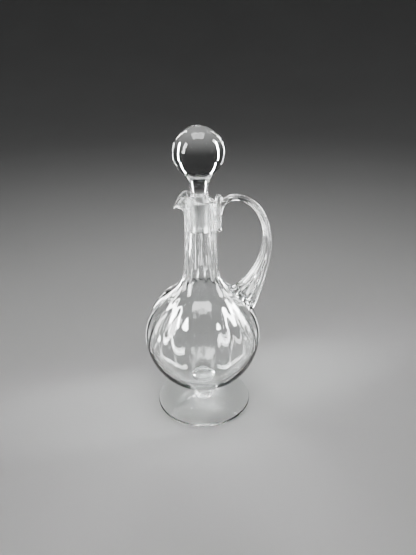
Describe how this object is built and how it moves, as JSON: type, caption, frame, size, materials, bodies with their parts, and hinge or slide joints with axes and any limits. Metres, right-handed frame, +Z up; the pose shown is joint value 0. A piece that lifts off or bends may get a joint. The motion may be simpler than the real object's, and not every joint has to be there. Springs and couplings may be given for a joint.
{
  "type": "stoppered glass jug",
  "caption": "Clear glass pouring jug with a round globe, fluted neck, pulled lip, reeded handle, stemmed foot and a ground ball stopper that lifts out.",
  "frame": {"origin": "centre of the foot's flat base, on the axis of the globe and neck", "axes": "+Z up along the axis of the globe, +X towards the handle, -X towards the pouring lip"},
  "size_m": [0.1295, 0.12, 0.2995],
  "materials": {
    "foot_glass": "polished clear glass, ground flat underneath",
    "stem_glass": "fire-polished clear glass",
    "body_glass": "blown clear glass with a fluted neck, ground inside where the plug sits",
    "handle_glass": "drawn reeded clear glass",
    "stopper_glass": "solid clear glass with a ground plug"
  },
  "bodies": {
    "jug": {"foot": "foot_glass", "stem": "stem_glass", "body": "body_glass", "handle": "handle_glass"},
    "stopper": {"stopper": "stopper_glass"}
  },
  "joints": [
    {"name": "stopper_lift", "type": "slide", "parent": "jug", "child": "stopper", "axis": [0, 0, 1], "range_m": [0, 0.06]}
  ]
}
